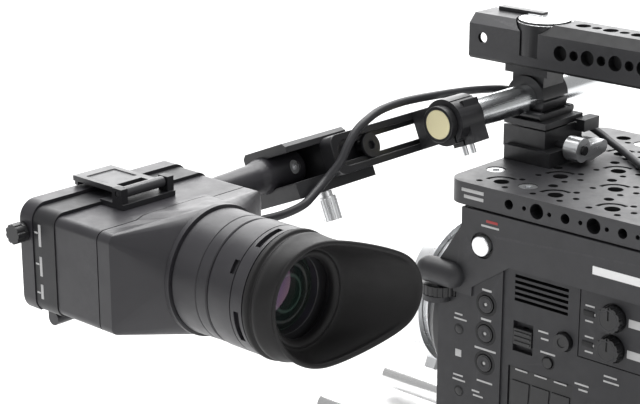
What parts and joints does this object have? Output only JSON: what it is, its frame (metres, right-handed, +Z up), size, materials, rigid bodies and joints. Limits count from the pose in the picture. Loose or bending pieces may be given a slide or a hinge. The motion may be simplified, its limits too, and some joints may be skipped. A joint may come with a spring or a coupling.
{
  "type": "cinema camera rig",
  "caption": "Digital cinema camera body with cheese plate, quick-release top handle and a loupe viewfinder hung from a cross rod and slotted arm.",
  "frame": {"origin": "mouth of the 3/8 inch tripod hole in the underside of the base plate, on the camera's centre plane", "axes": "+X to the camera's right, +Y along the lens axis towards the subject, +Z up"},
  "size_m": [0.386, 0.347, 0.2662],
  "materials": {
    "black_anodised": "satin",
    "body_shell": "fine matte texture",
    "evf_shell": "satin",
    "dark_plastic": "matte",
    "silver_metal": "satin",
    "steel": "brushed",
    "rubber": "matte",
    "cream_disc": "satin",
    "glass": "coated",
    "screen": "gloss",
    "circuit": "solder mask",
    "cable_sheath": "matte"
  },
  "bodies": {
    "camera": {"base_plate": "black_anodised", "chassis": "body_shell", "left_cover": "body_shell", "rear_panel": "body_shell", "mount_block": "black_anodised", "mount_flange": "steel", "sensor_module": "circuit", "main_board": "circuit", "top_plate": "black_anodised", "cap_screws": "steel", "clamp_block": "black_anodised", "riser": "black_anodised", "handle": "black_anodised", "handle_cap": "silver_metal", "key_strip": "screen", "camera_plug": "dark_plastic", "cable_camera": "cable_sheath"},
    "base_rods": {"base_rods": "silver_metal"},
    "locking_ring": {"locking_ring": "steel"},
    "turret": {"filter_turret": "dark_plastic", "filter_glasses": "glass"},
    "fan": {"fan_rotor": "dark_plastic"},
    "lock_lever": {"lock_lever": "silver_metal"},
    "rec_button": {"rec_button": "silver_metal"},
    "assign_1": {"assign_button_1": "dark_plastic"},
    "assign_2": {"assign_button_2": "dark_plastic"},
    "assign_3": {"assign_button_3": "dark_plastic"},
    "menu_button": {"menu_button": "dark_plastic"},
    "jog_dial": {"jog_dial": "dark_plastic"},
    "toggle": {"toggle_switch": "dark_plastic"},
    "level_a": {"level_knob_a": "dark_plastic"},
    "level_b": {"level_knob_b": "dark_plastic"},
    "nd_dial": {"nd_dial": "dark_plastic"},
    "cross": {"cross_rod": "silver_metal", "rod_cap": "black_anodised", "cap_disc": "cream_disc", "cable_rod": "cable_sheath"},
    "arm": {"rod_clamp": "black_anodised", "arm_plate": "black_anodised", "clamp_screws": "steel", "cable_arm": "cable_sheath"},
    "slider": {"slider_block": "black_anodised", "slider_bolt": "black_anodised", "cable_slider": "cable_sheath"},
    "thumb_screw": {"thumb_screw": "silver_metal"},
    "evf": {"tilt_boss": "black_anodised", "tilt_screw": "steel", "lcd_housing": "evf_shell", "lcd_screen": "screen", "evf_plug": "dark_plastic", "cable_evf": "cable_sheath"},
    "evf_dial": {"evf_dial": "dark_plastic"},
    "loupe": {"loupe_frame": "dark_plastic", "loupe_hood": "evf_shell", "loupe_barrel": "evf_shell"},
    "latch": {"latch_clip": "dark_plastic"},
    "diopter": {"diopter_ring": "evf_shell"},
    "lens_cell": {"lens_cell": "dark_plastic", "eye_lenses": "glass"},
    "eyecup": {"eyecup": "rubber"}
  },
  "joints": [
    {"name": "rod_shift", "type": "slide", "parent": "camera", "child": "base_rods", "axis": [0, 1, 0], "range_m": [-0.03, 0.04]},
    {"name": "mount_lock", "type": "hinge", "parent": "camera", "child": "locking_ring", "pos_m": [0, 0.143, 0.1], "axis": [0, 1, 0], "range_deg": [0, 25]},
    {"name": "filter_turn", "type": "hinge", "parent": "camera", "child": "turret", "pos_m": [-0.021, 0.093, 0.084], "axis": [0, 1, 0], "range_deg": [0, 270]},
    {"name": "fan_spin", "type": "hinge", "parent": "camera", "child": "fan", "pos_m": [0.054, -0.06, 0.108], "axis": [1, 0, 0], "continuous": true},
    {"name": "clamp_lever", "type": "hinge", "parent": "camera", "child": "lock_lever", "pos_m": [-0.005, 0.064, 0.1995], "axis": [0, -1, 0], "range_deg": [0, 80]},
    {"name": "record_press", "type": "slide", "parent": "camera", "child": "rec_button", "axis": [1, 0, 0], "range_m": [0, 0.0012], "stiffness_N_per_m": 350},
    {"name": "assign_press_1", "type": "slide", "parent": "camera", "child": "assign_1", "axis": [1, 0, 0], "range_m": [0, 0.0012], "stiffness_N_per_m": 350},
    {"name": "assign_press_2", "type": "slide", "parent": "camera", "child": "assign_2", "axis": [1, 0, 0], "range_m": [0, 0.0012], "stiffness_N_per_m": 350},
    {"name": "assign_press_3", "type": "slide", "parent": "camera", "child": "assign_3", "axis": [1, 0, 0], "range_m": [0, 0.0012], "stiffness_N_per_m": 350},
    {"name": "menu_press", "type": "slide", "parent": "camera", "child": "menu_button", "axis": [1, 0, 0], "range_m": [0, 0.0012], "stiffness_N_per_m": 350},
    {"name": "jog_turn", "type": "hinge", "parent": "camera", "child": "jog_dial", "pos_m": [-0.068, 0.024, 0.121], "axis": [1, 0, 0], "continuous": true},
    {"name": "toggle_slide", "type": "slide", "parent": "camera", "child": "toggle", "axis": [0, 0, 1], "range_m": [-0.003, 0.003]},
    {"name": "level_turn_a", "type": "hinge", "parent": "camera", "child": "level_a", "pos_m": [-0.07, -0.004, 0.141], "axis": [1, 0, 0], "range_deg": [-135, 135]},
    {"name": "level_turn_b", "type": "hinge", "parent": "camera", "child": "level_b", "pos_m": [-0.07, -0.004, 0.125], "axis": [1, 0, 0], "range_deg": [-135, 135]},
    {"name": "nd_turn", "type": "hinge", "parent": "camera", "child": "nd_dial", "pos_m": [-0.066, 0.104, 0.13], "axis": [0, 0, 1], "range_deg": [0, 270]},
    {"name": "cross_slide", "type": "slide", "parent": "camera", "child": "cross", "axis": [1, 0, 0], "range_m": [-0.03, 0.012], "deforming": ["cable_rod"]},
    {"name": "arm_swing", "type": "hinge", "parent": "cross", "child": "arm", "pos_m": [-0.067, 0.094, 0.223], "axis": [1, 0, 0], "range_deg": [-50, 60], "deforming": ["cable_arm"]},
    {"name": "slider_shift", "type": "slide", "parent": "arm", "child": "slider", "axis": [1, 0, 0], "range_m": [-0.012, 0.02], "deforming": ["cable_slider"]},
    {"name": "thumb_turn", "type": "hinge", "parent": "slider", "child": "thumb_screw", "pos_m": [-0.14, 0.11748, 0.19131], "axis": [0, 0.3907, 0.9205], "range_deg": [0, 360]},
    {"name": "evf_tilt", "type": "hinge", "parent": "slider", "child": "evf", "pos_m": [-0.16, 0.138, 0.205], "axis": [1, 0, 0], "range_deg": [-70, 70], "deforming": ["cable_evf"]},
    {"name": "evf_dial_turn", "type": "hinge", "parent": "evf", "child": "evf_dial", "pos_m": [-0.312, 0.138, 0.213], "axis": [1, 0, 0], "continuous": true},
    {"name": "loupe_flip", "type": "hinge", "parent": "evf", "child": "loupe", "pos_m": [-0.265, 0.132, 0.1722], "axis": [1, 0, 0], "range_deg": [0, 95]},
    {"name": "latch_lift", "type": "hinge", "parent": "loupe", "child": "latch", "pos_m": [-0.268, 0.108, 0.2296], "axis": [1, 0, 0], "range_deg": [0, 70]},
    {"name": "diopter_turn", "type": "hinge", "parent": "loupe", "child": "diopter", "pos_m": [-0.265, 0.04, 0.201], "axis": [0, 1, 0], "range_deg": [-80, 80]},
    {"name": "lens_focus", "type": "slide", "parent": "loupe", "child": "lens_cell", "axis": [0, 1, 0], "range_m": [-0.003, 0.003]},
    {"name": "eyecup_turn", "type": "hinge", "parent": "loupe", "child": "eyecup", "pos_m": [-0.265, 0.03, 0.201], "axis": [0, 1, 0], "continuous": true}
  ],
  "couplings": [
    {"joint": "diopter_turn", "follows": "lens_focus", "rad_per_m": 416.67}
  ]
}
